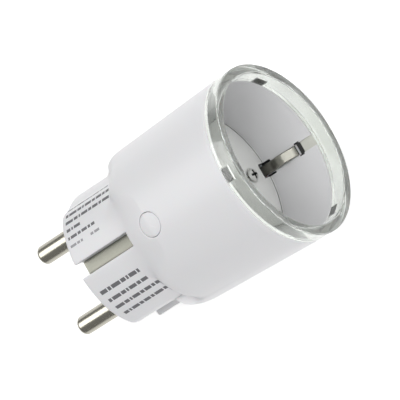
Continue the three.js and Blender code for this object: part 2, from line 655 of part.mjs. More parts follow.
export default assembly;
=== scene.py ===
"""Looks of a round smart plug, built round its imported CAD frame.

Frame: origin at the centre of the plug face, +Y into the wall, X along the line of the pins,
+Z to the button. "depth" is the distance in front of the plug face, so y = -depth.
Lengths are in mm here and become metres in make().
"""

import json
import math

import bmesh
import bpy
from mathutils import Matrix, Vector


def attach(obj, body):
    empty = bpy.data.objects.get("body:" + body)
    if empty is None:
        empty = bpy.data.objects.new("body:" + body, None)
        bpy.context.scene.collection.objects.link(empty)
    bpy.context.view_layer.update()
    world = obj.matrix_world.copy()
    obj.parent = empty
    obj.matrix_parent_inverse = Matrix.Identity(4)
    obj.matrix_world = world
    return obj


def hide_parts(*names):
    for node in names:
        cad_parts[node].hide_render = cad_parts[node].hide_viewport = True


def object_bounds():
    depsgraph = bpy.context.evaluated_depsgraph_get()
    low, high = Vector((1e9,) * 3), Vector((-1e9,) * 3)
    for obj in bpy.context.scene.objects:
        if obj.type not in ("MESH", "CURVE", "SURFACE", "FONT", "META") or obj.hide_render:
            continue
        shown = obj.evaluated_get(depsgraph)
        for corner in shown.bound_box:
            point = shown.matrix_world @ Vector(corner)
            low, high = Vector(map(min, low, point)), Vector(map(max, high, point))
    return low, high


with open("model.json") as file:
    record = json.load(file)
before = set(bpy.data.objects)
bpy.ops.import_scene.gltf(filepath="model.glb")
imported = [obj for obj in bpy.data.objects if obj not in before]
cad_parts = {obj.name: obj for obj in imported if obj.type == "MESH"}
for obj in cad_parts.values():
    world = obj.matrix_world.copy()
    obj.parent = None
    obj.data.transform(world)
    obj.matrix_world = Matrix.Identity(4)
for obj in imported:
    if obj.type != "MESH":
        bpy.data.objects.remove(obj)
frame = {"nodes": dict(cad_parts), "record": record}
cad_low, cad_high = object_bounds()
nodes = frame["nodes"]

MM = 0.001

# ---- Body dimensions, mm ----
BODY_LENGTH = 54.2
HOUSING_END = 50.2
LEDGE_DEPTH = 47.6
LEDGE_RADIUS = 20.95
MOUTH_RADIUS = 21.65
REAR_RADIUS = 20.35
REAR_DEPTH = 17.6
FACE_EDGE = 0.5
FACE_WALL = 2.2
PLUG_SIDE_RADIUS = 16.9
PLUG_CORNER_RADIUS = 18.1
PLUG_TOP_RADIUS = 17.7
SLOT_HALF = 1.8
SLOT_FLOOR = 13.6
SLOT_END = 17.7
GROOVE_BOTTOM = 15.2
GROOVE_NEAR = 5.5
GROOVE_FAR = 2.2
GROOVE_END = 12.6
WING_ANGLE = math.radians(7)
SHOULDER_FROM = 0.03
SHOULDER_FULL = 0.5
CORNER_FROM = 0.4
CORNER_FULL = 0.62
RAMP_FROM = 0.8
RAMP_FULL = 0.98
PIN_X = 9.5
PIN_RADIUS = 2.4
PIN_HOLE = 2.55
BUTTON_DEPTH = 25.8
BUTTON_RADIUS = 2.9
BUTTON_HOLE = 3.05
CAVITY_RADIUS = 20.05
FLOOR_DEPTH = 35.3
FLOOR_RADIUS = 18.9
FLOOR_SEAM = 0.28
FLOOR_SEAM_DEEP = 0.9
RECESS_RADIUS = 19.2
INSERT_RADIUS = 19.9
INSERT_MOUTH_RADIUS = 19.8
SCREW_Z = 11.9
SCREW_HEAD_RADIUS = 1.6
CROSS_HALF = 0.28
CROSS_REACH = 1.15
STRIP_MID = 14.2
STRIP_HALF = 1.65
STRIP_THICK = 0.6
CLIP_REST = 18.95
CLIP_HALF = 1.2
CLIP_THICK = 0.5
CLIP_BULGE = 1.7
# openings round each clip: at its foot, in the gap past its end, along the channel to the rim
FOOT_HALF = CLIP_HALF + 0.6
FOOT_NEAR = 16.4
FOOT_END = 37.2
GAP_HALF = CLIP_HALF + 0.45
GAP_START = 44.9
GAP_END = 46.25
CHANNEL_HALF = CLIP_HALF + 0.1
LAMP_TURNS = (0, 120, 240)
LAMP_HALF = 1.6
LAMP_INNER = 19.95
LAMP_OUTER = 20.65
LAMP_BACK = 49.0
LAMP_FRONT = 51.8


# ---------------------------------------------------------------- materials
def node_of(tree, kind, **inputs):
    made = tree.nodes.new(kind)
    for key, value in inputs.items():
        made.inputs[key.replace("_", " ")].default_value = value
    return made


def calc(tree, operation, *terms):
    """One Math node; each term is a number or another node's output."""
    made = tree.nodes.new("ShaderNodeMath")
    made.operation = operation
    for socket, term in zip(made.inputs, terms):
        if isinstance(term, (int, float)):
            socket.default_value = term
        else:
            tree.links.new(term, socket)
    return made.outputs[0]


def colour_mix(tree, share, first, second, blend="MIX"):
    """One colour Mix node; each colour is a value or another node's output."""
    made = tree.nodes.new("ShaderNodeMix")
    made.data_type = "RGBA"
    made.blend_type = blend
    tree.links.new(share, made.inputs[0])
    for socket, term in ((made.inputs[6], first), (made.inputs[7], second)):
        if isinstance(term, (tuple, list)):
            socket.default_value = term
        else:
            tree.links.new(term, socket)
    return made.outputs[2]


def place_in_mm(tree):
    coords = tree.nodes.new("ShaderNodeTexCoord")
    in_mm = tree.nodes.new("ShaderNodeMapping")
    in_mm.inputs["Scale"].default_value = (1000, 1000, 1000)
    tree.links.new(coords.outputs["Object"], in_mm.inputs["Vector"])
    return in_mm


def finish(
    name,
    colour,
    roughness,
    metallic=0.0,
    tone=0.03,
    rough_swing=0.06,
    grain=3.0,
    grain_stretch=(1, 1, 1),
    bump=0.15,
    bump_size=0.01,
    wear=0.04,
    extra=None,
    **sockets,
):
    """A material with colour drift, roughness variation, a fine grain and lighter worn edges."""
    mat = bpy.data.materials.new(name)
    mat.use_nodes = True
    tree = mat.node_tree
    tree.nodes.clear()
    link = tree.links.new
    out = tree.nodes.new("ShaderNodeOutputMaterial")
    shader = tree.nodes.new("ShaderNodeBsdfPrincipled")
    link(shader.outputs[0], out.inputs[0])
    in_mm = place_in_mm(tree)
    stretched = tree.nodes.new("ShaderNodeMapping")
    stretched.inputs["Scale"].default_value = grain_stretch
    link(in_mm.outputs[0], stretched.inputs["Vector"])
    drift = node_of(tree, "ShaderNodeTexNoise", Scale=0.09, Detail=4.0, Roughness=0.6)
    link(in_mm.outputs[0], drift.inputs["Vector"])
    speck = node_of(tree, "ShaderNodeTexNoise", Scale=grain, Detail=6.0, Roughness=0.65)
    link(stretched.outputs[0], speck.inputs["Vector"])
    # colour: slow drift, then lighter where the edge is worn
    darker = [c * (1 - tone) for c in colour] + [1]
    lighter = [min(1, c * (1 + tone)) for c in colour] + [1]
    tint = colour_mix(tree, drift.outputs[0], darker, lighter)
    shape = tree.nodes.new("ShaderNodeNewGeometry")
    edge = node_of(tree, "ShaderNodeMapRange")
    edge.inputs["From Min"].default_value = 0.52
    edge.inputs["From Max"].default_value = 0.62
    link(shape.outputs["Pointiness"], edge.inputs["Value"])
    patchy = calc(tree, "MULTIPLY", edge.outputs[0], speck.outputs[0])
    rubbed = [min(1, c * (1 + 4 * wear) + wear) for c in colour] + [1]
    worn = colour_mix(tree, patchy, tint, rubbed)
    link(worn, shader.inputs["Base Color"])
    # roughness: fine and slow variation together
    mixed = calc(tree, "ADD", drift.outputs[0], speck.outputs[0])
    rough = node_of(tree, "ShaderNodeMapRange")
    rough.inputs["From Min"].default_value = 0.5
    rough.inputs["From Max"].default_value = 1.5
    rough.inputs["To Min"].default_value = max(0.0, roughness - rough_swing)
    rough.inputs["To Max"].default_value = roughness + rough_swing
    link(mixed, rough.inputs["Value"])
    link(rough.outputs[0], shader.inputs["Roughness"])
    # grain
    grain_bump = node_of(tree, "ShaderNodeBump", Strength=bump, Distance=bump_size * MM)
    link(speck.outputs[0], grain_bump.inputs["Height"])
    link(grain_bump.outputs[0], shader.inputs["Normal"])
    shader.inputs["Metallic"].default_value = metallic
    for key, value in sockets.items():
        shader.inputs[key.replace("_", " ")].default_value = value
    if extra:
        extra(tree, shader, in_mm, grain_bump, worn)
    return mat


def chain_height(tree, texture_output, grain_bump, strength, depth_mm):
    """Adds a second relief under the grain."""
    relief = node_of(tree, "ShaderNodeBump", Strength=strength, Distance=depth_mm * MM)
    tree.links.new(texture_output, relief.inputs["Height"])
    tree.links.new(relief.outputs[0], grain_bump.inputs["Normal"])


def windings(tree, shader, in_mm, grain_bump, worn):
    """Turns of wire round the plug's axis."""
    bands = node_of(tree, "ShaderNodeTexWave", Scale=1.6, Distortion=0.3)
    bands.bands_direction = "Y"
    tree.links.new(in_mm.outputs[0], bands.inputs["Vector"])
    chain_height(tree, bands.outputs["Fac"], grain_bump, 0.8, 0.15)


def traces(tree, shader, in_mm, grain_bump, worn):
    """Lanes of copper under the solder mask."""
    lanes = node_of(tree, "ShaderNodeTexBrick", Scale=0.35)
    lanes.inputs["Mortar Size"].default_value = 0.06
    turned_map = tree.nodes.new("ShaderNodeMapping")
    turned_map.inputs["Rotation"].default_value = (math.radians(90), 0, 0)
    tree.links.new(in_mm.outputs[0], turned_map.inputs["Vector"])
    tree.links.new(turned_map.outputs[0], lanes.inputs["Vector"])
    chain_height(tree, lanes.outputs["Fac"], grain_bump, 0.6, 0.05)


def toned(tree, shader, under, share, tone):
    """Multiplies the colour by a tone where share is 1."""
    mixed = colour_mix(tree, share, under, tone, blend="MULTIPLY")
    tree.links.new(mixed, shader.inputs["Base Color"])
    return mixed


def split_place(tree, in_mm):
    apart = tree.nodes.new("ShaderNodeSeparateXYZ")
    tree.links.new(in_mm.outputs[0], apart.inputs[0])
    return apart.outputs


def below(tree, value, limit):
    return calc(tree, "LESS_THAN", value, limit)


def above(tree, value, limit):
    return calc(tree, "GREATER_THAN", value, limit)


def both(tree, one, other):
    return calc(tree, "MULTIPLY", one, other)


CUT_MARGIN = 0.01
# Painted light: this tone makes the recess floor paler than its walls.
PAINTED_LIGHT_FLOOR_TONE = (1.42, 1.43, 1.38, 1)
CHANNEL_TONE = (0.9, 0.91, 0.82, 1)
# Painted shade in the floor's seam and in the openings round the clips.
SHADE_TONE = (0.05, 0.05, 0.05, 1)
# Painted shade inside the cross of a screw head.
CROSS_SHADE_TONE = (0.06, 0.06, 0.06, 1)


def recess_tones(tree, shader, in_mm, grain_bump, worn):
    """Painted light and shade: a paler floor, painted shade in its seam and round the clips' ends, and a
    duller clip channel.
    """
    x, y, z = split_place(tree, in_mm)
    aside = calc(tree, "ABSOLUTE", x)
    radius = calc(tree, "SQRT", calc(tree, "ADD", both(tree, x, x), both(tree, z, z)))
    at_clip = above(tree, calc(tree, "ABSOLUTE", z), FOOT_NEAR - 0.1)
    foot = both(
        tree, below(tree, aside, FOOT_HALF + CUT_MARGIN), above(tree, y, -FOOT_END - CUT_MARGIN)
    )
    along_gap = calc(
        tree, "COMPARE", y, -(GAP_START + GAP_END) / 2, (GAP_END - GAP_START) / 2 + CUT_MARGIN
    )
    gap = both(tree, below(tree, aside, GAP_HALF + CUT_MARGIN), along_gap)
    openings = both(tree, at_clip, calc(tree, "MAXIMUM", foot, gap))
    seam = both(
        tree, above(tree, radius, FLOOR_RADIUS - FLOOR_SEAM - CUT_MARGIN),
        above(tree, y, 0.12 - FLOOR_DEPTH),
    )
    channel = both(
        tree, below(tree, aside, CHANNEL_HALF + CUT_MARGIN), below(tree, y, -GAP_END - CUT_MARGIN)
    )
    # painted light on the floor, painted shade in its seam and the openings round the clips, then the
    # channel's duller tint
    tones = (
        (above(tree, y, -FLOOR_DEPTH - 0.1), PAINTED_LIGHT_FLOOR_TONE),
        (calc(tree, "MAXIMUM", openings, seam), SHADE_TONE),
        (both(tree, at_clip, channel), CHANNEL_TONE),
    )
    colour = worn
    for share, tone in tones:
        colour = toned(tree, shader, colour, share, tone)


def screw_cross(tree, shader, in_mm, grain_bump, worn):
    """Painted shade inside the cross of a screw head."""
    half_margin = CUT_MARGIN / 2
    x, _, z = split_place(tree, in_mm)
    aside = calc(tree, "ABSOLUTE", x)
    along = calc(tree, "ABSOLUTE", calc(tree, "SUBTRACT", calc(tree, "ABSOLUTE", z), SCREW_Z))
    arms = [
        both(tree, below(tree, near, CROSS_HALF + half_margin), below(tree, far, CROSS_REACH + half_margin))
        for near, far in ((aside, along), (along, aside))
    ]
    toned(tree, shader, worn, calc(tree, "MAXIMUM", *arms), CROSS_SHADE_TONE)


WHITE = finish(
    "moulded_white", (0.815, 0.815, 0.83), 0.36, tone=0.012, rough_swing=0.05, grain=4.0,
    bump=0.12, bump_size=0.012, wear=0.02, Subsurface_Weight=0.04, Subsurface_Scale=0.0008,
    Specular_IOR_Level=0.3,
)
# A greyer copy of the body's white: painted shade on the recess walls; recess_tones paints its floor paler
# as painted light.
INSERT_WHITE_PAINTED_LIGHT_SHADE = finish(
    "moulded_white_insert_painted_shade_and_light", (0.655, 0.655, 0.665), 0.46, tone=0.015, rough_swing=0.06, grain=3.0,
    bump=0.2, bump_size=0.015, wear=0.02, Specular_IOR_Level=0.35, extra=recess_tones,
)
GREY = finish("moulded_grey", (0.57, 0.58, 0.59), 0.5, bump=0.25, wear=0.04)
NICKEL = finish(
    "nickel", (0.42, 0.405, 0.345), 0.25, metallic=1.0, tone=0.05, rough_swing=0.07,
    grain=1.6, grain_stretch=(0.6, 5.0, 0.6), bump=0.12, bump_size=0.01, wear=0.05,
)
# A darker copy of the nickel: painted shade, so the flat strips do not mirror the rear softbox as brightly
# as the pins do.
STRIP_NICKEL_PAINTED_SHADE = finish(
    "nickel_strip_painted_shade", (0.33, 0.33, 0.285), 0.52, metallic=1.0, tone=0.06, rough_swing=0.08,
    grain=1.4, grain_stretch=(5.0, 0.5, 0.8), bump=0.15, bump_size=0.012, wear=0.05,
)
CLIP_NICKEL = finish(
    "nickel_clip", (0.36, 0.355, 0.315), 0.5, metallic=1.0, tone=0.06, rough_swing=0.08,
    grain=1.8, grain_stretch=(4.0, 0.6, 0.8), bump=0.12, bump_size=0.01, wear=0.06,
)
SCREW_ZINC = finish(
    "zinc_screw", (0.72, 0.72, 0.70), 0.5, metallic=0.85, tone=0.07, grain=2.4, bump=0.2, wear=0.06,
    extra=screw_cross,
)
BRASS = finish("stamped_brass", (0.56, 0.40, 0.15), 0.34, metallic=1.0, tone=0.08, bump=0.15)
STEEL = finish(
    "zinc_steel", (0.50, 0.51, 0.52), 0.33, metallic=1.0, tone=0.07, grain=2.4, bump=0.2, wear=0.06,
)
COPPER = finish("copper", (0.55, 0.22, 0.10), 0.38, metallic=1.0, tone=0.08, bump=0.15)
COIL = finish("copper_winding", (0.50, 0.16, 0.06), 0.3, tone=0.08, bump=0.1, extra=windings)
BLACK = finish("black_resin", (0.016, 0.016, 0.018), 0.55, tone=0.15, bump=0.35, wear=0.03)
BOARD = finish("solder_mask_green", (0.014, 0.105, 0.045), 0.42, tone=0.12, bump=0.1, extra=traces)
BOARD_WHITE = finish("solder_mask_white", (0.76, 0.76, 0.70), 0.45, tone=0.03, bump=0.1, extra=traces)
RELAY_BLUE = finish("relay_moulding", (0.02, 0.035, 0.05), 0.45, tone=0.1, bump=0.3, wear=0.05)
ALUMINIUM = finish(
    "aluminium_can", (0.58, 0.59, 0.61), 0.34, metallic=1.0, grain=1.5,
    grain_stretch=(5, 0.4, 5), bump=0.15,
)
CERAMIC = finish("coated_ceramic", (0.03, 0.16, 0.38), 0.42, tone=0.1, bump=0.35, bump_size=0.03)
LED_BODY = finish(
    "lamp_body", (0.02, 0.02, 0.019), 0.4, tone=0.1, bump=0.2, wear=0.05, Specular_IOR_Level=0.15,
)
INK = finish("print_ink", (0.16, 0.16, 0.17), 0.55, tone=0.12, bump=0.1, wear=0.0)
FAINT_INK = finish("print_ink_faint", (0.34, 0.34, 0.355), 0.55, tone=0.15, bump=0.1, wear=0.0)


def acrylic():
    """Clear moulded plastic: faint green-grey body, flow lines in the surface."""
    mat = bpy.data.materials.new("clear_acrylic")
    mat.use_nodes = True
    tree = mat.node_tree
    shader = tree.nodes["Principled BSDF"]
    link = tree.links.new
    in_mm = place_in_mm(tree)
    flow = node_of(tree, "ShaderNodeTexNoise", Scale=0.35, Detail=2.0, Roughness=0.5)
    link(in_mm.outputs[0], flow.inputs["Vector"])
    fine = node_of(tree, "ShaderNodeTexNoise", Scale=5.0, Detail=4.0, Roughness=0.6)
    link(in_mm.outputs[0], fine.inputs["Vector"])
    tint = colour_mix(tree, flow.outputs[0], (0.70, 0.73, 0.695, 1), (0.79, 0.81, 0.775, 1))
    link(tint, shader.inputs["Base Color"])
    rough = node_of(tree, "ShaderNodeMapRange")
    rough.inputs["To Min"].default_value = 0.02
    rough.inputs["To Max"].default_value = 0.09
    link(fine.outputs[0], rough.inputs["Value"])
    link(rough.outputs[0], shader.inputs["Roughness"])
    under = node_of(tree, "ShaderNodeBump", Strength=0.35, Distance=0.12 * MM)
    link(flow.outputs[0], under.inputs["Height"])
    over = node_of(tree, "ShaderNodeBump", Strength=0.08, Distance=0.01 * MM)
    link(fine.outputs[0], over.inputs["Height"])
    link(under.outputs[0], over.inputs["Normal"])
    link(over.outputs[0], shader.inputs["Normal"])
    shader.inputs["Transmission Weight"].default_value = 0.93
    shader.inputs["IOR"].default_value = 1.49
    return mat


CLEAR = acrylic()

SLOT_FINISH = {
    "white_plastic": WHITE, "grey_plastic": GREY, "clear_plastic": CLEAR, "nickel": NICKEL,
    "brass": BRASS, "steel": STEEL, "copper": COPPER, "black_resin": BLACK, "board_green": BOARD,
    "board_white": BOARD_WHITE, "relay_blue": RELAY_BLUE, "aluminium": ALUMINIUM,
    "ceramic_blue": CERAMIC, "led_grey": LED_BODY,
}
OWN_FINISH = {"relay_coil": COIL, "inductor": BLACK, "safety_shutter": INSERT_WHITE_PAINTED_LIGHT_SHADE}

slot_of = {row["node"]: row["material_slot"] for row in frame["record"]["subparts"]}
for node_name, node in nodes.items():
    node.data.materials.clear()
    node.data.materials.append(OWN_FINISH.get(node_name) or SLOT_FINISH[slot_of[node_name]])


# ---------------------------------------------------------------- mesh helpers
def make(name, points, faces, body, material, replaces=(), sharp=35):
    """A closed mesh from [x, depth, z] points in mm."""
    mesh = bpy.data.meshes.new(name)
    mesh.from_pydata([(x * MM, -d * MM, z * MM) for x, d, z in points], [], faces)
    work = bmesh.new()
    work.from_mesh(mesh)
    bmesh.ops.remove_doubles(work, verts=work.verts, dist=1e-7)
    bmesh.ops.dissolve_degenerate(work, edges=work.edges, dist=1e-7)
    bmesh.ops.recalc_face_normals(work, faces=work.faces)
    work.to_mesh(mesh)
    work.free()
    obj = bpy.data.objects.new(name, mesh)
    bpy.context.scene.collection.objects.link(obj)
    dress(obj, material, sharp)
    if body:
        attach(obj, body)
    if replaces:
        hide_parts(*replaces)
    return obj


def dress(obj, material, sharp=35):
    obj.data.materials.clear()
    obj.data.materials.append(material)
    obj.data.shade_smooth()
    obj.data.set_sharp_from_angle(angle=math.radians(sharp))


def bridge(faces, low, high, count):
    """Quads between two closed rows of points that start at the indices low and high."""
    for i in range(count):
        j = (i + 1) % count
        faces.append((low + i, low + j, high + j, high + i))


def rounded(corners, steps=4):
    """A closed outline of (a, b, fillet) corners, each turned into an arc."""
    made = []
    for i, (a, b, fillet) in enumerate(corners):
        here = Vector((a, b))
        if fillet <= 0:
            made.append(here)
            continue
        before = (Vector(corners[i - 1][:2]) - here).normalized()
        after = (Vector(corners[(i + 1) % len(corners)][:2]) - here).normalized()
        half = before.angle(after) / 2
        reach = fillet / math.tan(half)
        middle = here + (before + after).normalized() * (fillet / math.sin(half))
        start = here + before * reach - middle
        end = here + after * reach - middle
        turn = start.angle_signed(end)
        for step in range(steps + 1):
            made.append(middle + Matrix.Rotation(-turn * step / steps, 2) @ start)
    return [tuple(p) for p in made]


def turned(profile, sides, x=0.0, z=0.0, round_axis=True):
    """Points and faces of a [radius, depth] profile turned about the plug's axis, or one beside it."""
    points, faces = [], []
    for radius, depth in profile:
        for i in range(sides):
            angle = 2 * math.pi * i / sides
            points.append((x + radius * math.cos(angle), depth, z + radius * math.sin(angle)))
    for row in range(len(profile) if round_axis else len(profile) - 1):
        bridge(faces, row * sides, ((row + 1) % len(profile)) * sides, sides)
    return points, faces


def carve(obj, cutters, material, sharp):
    """Cuts the cutters out of obj and removes them."""
    for tool in cutters:
        cut = obj.modifiers.new("cut", "BOOLEAN")
        cut.operation = "DIFFERENCE"
        cut.solver = "EXACT"
        cut.object = tool
    bpy.context.view_layer.update()
    graph = bpy.context.evaluated_depsgraph_get()
    done = bpy.data.meshes.new_from_object(obj.evaluated_get(graph))
    obj.modifiers.clear()
    obj.data = done
    for tool in cutters:
        bpy.data.objects.remove(tool)
    dress(obj, material, sharp)


def lerp(a, b, t):
    return a + (b - a) * t


# ---------------------------------------------------------------- body surface
def body_radius(depth):
    return REAR_RADIUS + (depth - REAR_DEPTH) * (MOUTH_RADIUS - REAR_RADIUS) / (HOUSING_END - REAR_DEPTH)


def bezier(a, b, c, steps):
    made = []
    for i in range(steps + 1):
        t = i / steps
        made.append(tuple(lerp(lerp(a[k], b[k], t), lerp(b[k], c[k], t), t) for k in (0, 1)))
    return made


def face_edge(radius, steps=8):
    made = []
    for i in range(steps + 1):
        turn = i / steps * math.pi / 2
        made.append((FACE_EDGE * (1 - math.cos(turn)), radius - FACE_EDGE * (1 - math.sin(turn))))
    return made


def body_line(depths):
    return [(d, body_radius(d)) for d in depths]


SIDE_OUTLINE = (
    face_edge(PLUG_SIDE_RADIUS)
    + bezier((9.6, PLUG_SIDE_RADIUS), (11.2, PLUG_SIDE_RADIUS), (12.1, 18.4), 12)
    + bezier((12.1, 18.4), (13.3, 20.2), (REAR_DEPTH, REAR_RADIUS), 20)[1:]
    + body_line((26, 38, HOUSING_END))
)
CORNER_OUTLINE = (
    face_edge(PLUG_CORNER_RADIUS)
    + bezier((15.7, PLUG_CORNER_RADIUS), (16.3, PLUG_CORNER_RADIUS), (16.95, 19.1), 12)
    + bezier((16.95, 19.1), (17.8, 20.35), (20.4, body_radius(20.4)), 20)[1:]
    + body_line((28, 38, HOUSING_END))
)
TOP_OUTLINE = (
    face_edge(PLUG_TOP_RADIUS)
    + bezier((10.5, 17.9), (15.5, 18.0), (18.6, 18.95), 12)
    + bezier((18.6, 18.95), (21.7, 19.95), (25.4, body_radius(25.4)), 20)[1:]
    + body_line((30, 38, HOUSING_END))
)
SIDE_CAVITY = (
    (FACE_WALL, 15.2), (12.4, 15.2), (15.0, 18.5), (24, 19.4), (32, CAVITY_RADIUS),
    (LEDGE_DEPTH, CAVITY_RADIUS),
)
CORNER_CAVITY = (
    (FACE_WALL, 15.2), (15.4, 15.3), (18.0, 17.4), (22.6, 19.25), (32, CAVITY_RADIUS),
    (LEDGE_DEPTH, CAVITY_RADIUS),
)
TOP_CAVITY = (
    (FACE_WALL, 15.2), (16.4, 15.3), (19.4, 17.4), (22.2, 19.15), (32, CAVITY_RADIUS),
    (LEDGE_DEPTH, CAVITY_RADIUS),
)


def smoothstep(value, low, high):
    t = min(1.0, max(0.0, (value - low) / (high - low)))
    return t * t * (3 - 2 * t)


def blended_radius(outlines, angle, depth):
    """Radius of the surface that blends the side, corner and top outlines row by row."""
    from_wing = abs(math.sin(angle - WING_ANGLE))
    rise = (
        smoothstep(from_wing, SHOULDER_FROM, SHOULDER_FULL),
        smoothstep(from_wing, CORNER_FROM, CORNER_FULL),
    )
    ramp = smoothstep(abs(math.sin(angle)), RAMP_FROM, RAMP_FULL)
    last = None
    for side, corner, top in zip(*outlines):
        here = [lerp(lerp(side[k], corner[k], rise[k]), top[k], ramp) for k in (0, 1)]
        if last and here[0] >= depth - 1e-9:
            span = here[0] - last[0]
            return here[1] if span < 1e-9 else lerp(last[1], here[1], (depth - last[0]) / span)
        last = here
    return last[1]


def skin(angle, depth):
    return blended_radius((SIDE_OUTLINE, CORNER_OUTLINE, TOP_OUTLINE), angle, depth)


def top_skin(x, depth):
    """Height of the surface above the axis near the button's meridian."""
    return math.sqrt(skin(math.pi / 2, depth) ** 2 - x * x)


# ---------------------------------------------------------------- housing
LIP = 0.22
TOE = 0.3
NOTCH_DRAFT = 0.03
NOTCH_WALL_POINTS = 4
STEP_DEEP = 0.14
ARC_STEPS = 44
# what a section does at a notch: cut it, cut a shallow step, stay whole, or stay whole with even points
CUT, STEP, WHOLE, EVEN = range(4)


def notch_path(half_low, half_high, floor, surface):
    """A notch's section as (along, out) points, low side to high side, with soft lips and corners."""
    rows = []
    for side, half in ((-1, half_low), (1, half_high)):
        wall = []
        for i in range(NOTCH_WALL_POINTS):
            turn = i / (NOTCH_WALL_POINTS - 1) * math.pi / 2
            wall.append((side * (half + LIP * (1 - math.sin(turn))), surface - LIP * (1 - math.cos(turn))))
        for i in range(NOTCH_WALL_POINTS):
            turn = i / (NOTCH_WALL_POINTS - 1) * math.pi / 2
            along = half - NOTCH_DRAFT - TOE * (1 - math.cos(turn))
            wall.append((side * along, floor + TOE * (1 - math.sin(turn))))
        rows.append(wall)
    middle = [(lerp(-half_low + TOE, half_high - TOE, t), floor) for t in (0.25, 0.5, 0.75)]
    return rows[0] + middle + rows[1][::-1]


def notch(depth, centre_angle, half_low, half_high, floor, state):
    """Points across a notch whose middle faces centre_angle, from its low angle to its high angle."""
    out = (math.cos(centre_angle), math.sin(centre_angle))
    along = (-out[1], out[0])
    radius = skin(centre_angle, depth)
    surface = math.sqrt(radius**2 - max(half_low, half_high) ** 2)
    path = notch_path(half_low, half_high, floor, surface)
    made = []
    for i, (a, o) in enumerate(path):
        if state == EVEN:
            a = lerp(-half_low - LIP, half_high + LIP, i / (len(path) - 1))
        on_skin = math.sqrt(radius**2 - a * a)
        if state == CUT:
            drop = surface - o
            inside = NOTCH_WALL_POINTS <= i < len(path) - NOTCH_WALL_POINTS
            o = min(on_skin, o if inside or drop >= LIP + 1e-6 else on_skin - drop)
        elif state == STEP:
            o = on_skin - min(STEP_DEEP, max(0.0, on_skin - o))
        else:
            o = on_skin
        made.append((along[0] * a + out[0] * o, depth, along[1] * a + out[1] * o))
    return made


def section(depth, slot, groove):
    """One closed section of the outer skin, with the states of its slots and its grooves."""
    # the +X groove spans z from -near to +far, the -X groove is the same turned half a turn
    spans = (
        (0.0, GROOVE_NEAR, GROOVE_FAR, GROOVE_BOTTOM, groove),
        (math.pi / 2, SLOT_HALF, SLOT_HALF, SLOT_FLOOR, slot),
        (math.pi, GROOVE_NEAR, GROOVE_FAR, GROOVE_BOTTOM, groove),
        (3 * math.pi / 2, SLOT_HALF, SLOT_HALF, SLOT_FLOOR, slot),
    )
    points = []
    for index, (angle, low, high, floor, state) in enumerate(spans):
        points += notch(depth, angle, low, high, floor, state)
        next_angle, next_low = spans[(index + 1) % 4][0:2]
        if index == 3:
            next_angle += 2 * math.pi
        start = angle + math.asin((high + LIP) / skin(angle, depth))
        end = next_angle - math.asin((next_low + LIP) / skin(next_angle, depth))
        for i in range(1, ARC_STEPS):
            turn = lerp(start, end, i / ARC_STEPS)
            radius = skin(turn, depth)
            points.append((radius * math.cos(turn), depth, radius * math.sin(turn)))
    return points


# the wall left inside the slots and the grooves, and how far it reaches across and along
SLOT_WALL = 1.2
SLOT_WALL_HALF = 3.1
GROOVE_WALL = 1.0
GROOVE_WALL_HALF = 7.5
NOTCH_END_WALL = 1.0


def cavity_radius(angle, depth):
    if depth > LEDGE_DEPTH + 1e-6:
        return LEDGE_RADIUS
    radius = blended_radius((SIDE_CAVITY, CORNER_CAVITY, TOP_CAVITY), angle, max(depth, FACE_WALL))
    across, up = radius * math.cos(angle), radius * math.sin(angle)
    if abs(across) < SLOT_WALL_HALF and depth < SLOT_END + NOTCH_END_WALL:
        radius = min(radius, (SLOT_FLOOR - SLOT_WALL) / abs(math.sin(angle)))
    if abs(up) < GROOVE_WALL_HALF and depth < GROOVE_END + NOTCH_END_WALL:
        radius = min(radius, (GROOVE_BOTTOM - GROOVE_WALL) / abs(math.cos(angle)))
    return radius


def spaced(low, high, step):
    count = max(1, round((high - low) / step))
    return [lerp(low, high, i / count) for i in range(count + 1)]


END_ROUND = 0.15
HOLE_SIDES = 48
# half the side of the square of skin round the button that is meshed as rings
BLOCK_REACH = 4.3


def housing_rows():
    """The (depth, slot state, groove state) rows of the outer skin, from the plug face on."""
    rows = [(FACE_EDGE * (1 - math.cos(i / 6 * math.pi / 2)), CUT, CUT) for i in range(7)]
    rows += [(d, CUT, CUT) for d in spaced(1.4, 9.4, 1.0)]
    rows += [(d, CUT, CUT) for d in spaced(9.6, GROOVE_END, 0.25)]
    rows += [(GROOVE_END, CUT, STEP), (GROOVE_END + STEP_DEEP, CUT, WHOLE)]
    rows += [(d, CUT, EVEN) for d in spaced(GROOVE_END + 0.4, SLOT_END - 0.3, 0.3)]
    rows += [(SLOT_END, CUT, EVEN), (SLOT_END, STEP, EVEN), (SLOT_END + STEP_DEEP, WHOLE, EVEN)]
    rows += [(d, EVEN, EVEN) for d in spaced(SLOT_END + 0.4, 30.2, 0.3)]
    rows += [(d, EVEN, EVEN) for d in spaced(31.5, HOUSING_END - END_ROUND, 1.5)]
    return rows


def add_pin_holes(points, faces):
    """The walls of the two pin holes; returns where each of their rows of points starts."""
    starts = []
    for depth, radius in ((0.0, PIN_HOLE + 0.15), (0.15, PIN_HOLE), (FACE_WALL, PIN_HOLE)):
        for side in (-1, 1):
            starts.append(len(points))
            for i in range(HOLE_SIDES):
                turn = 2 * math.pi * i / HOLE_SIDES
                points.append((side * PIN_X + radius * math.cos(turn), depth, radius * math.sin(turn)))
    for low, high in ((0, 2), (2, 4), (1, 3), (3, 5)):
        bridge(faces, starts[low], starts[high], HOLE_SIDES)
    return starts


def fill_face(work, outline_start, count, hole_starts):
    """A flat face inside an outline of count points, with two pin holes in it."""
    edges = []
    for start, size in [(outline_start, count)] + [(hole, HOLE_SIDES) for hole in hole_starts]:
        for i in range(size):
            pair = (work.verts[start + i], work.verts[start + (i + 1) % size])
            edges.append(work.edges.get(pair) or work.edges.new(pair))
    bmesh.ops.triangle_fill(work, use_beauty=True, edges=edges)


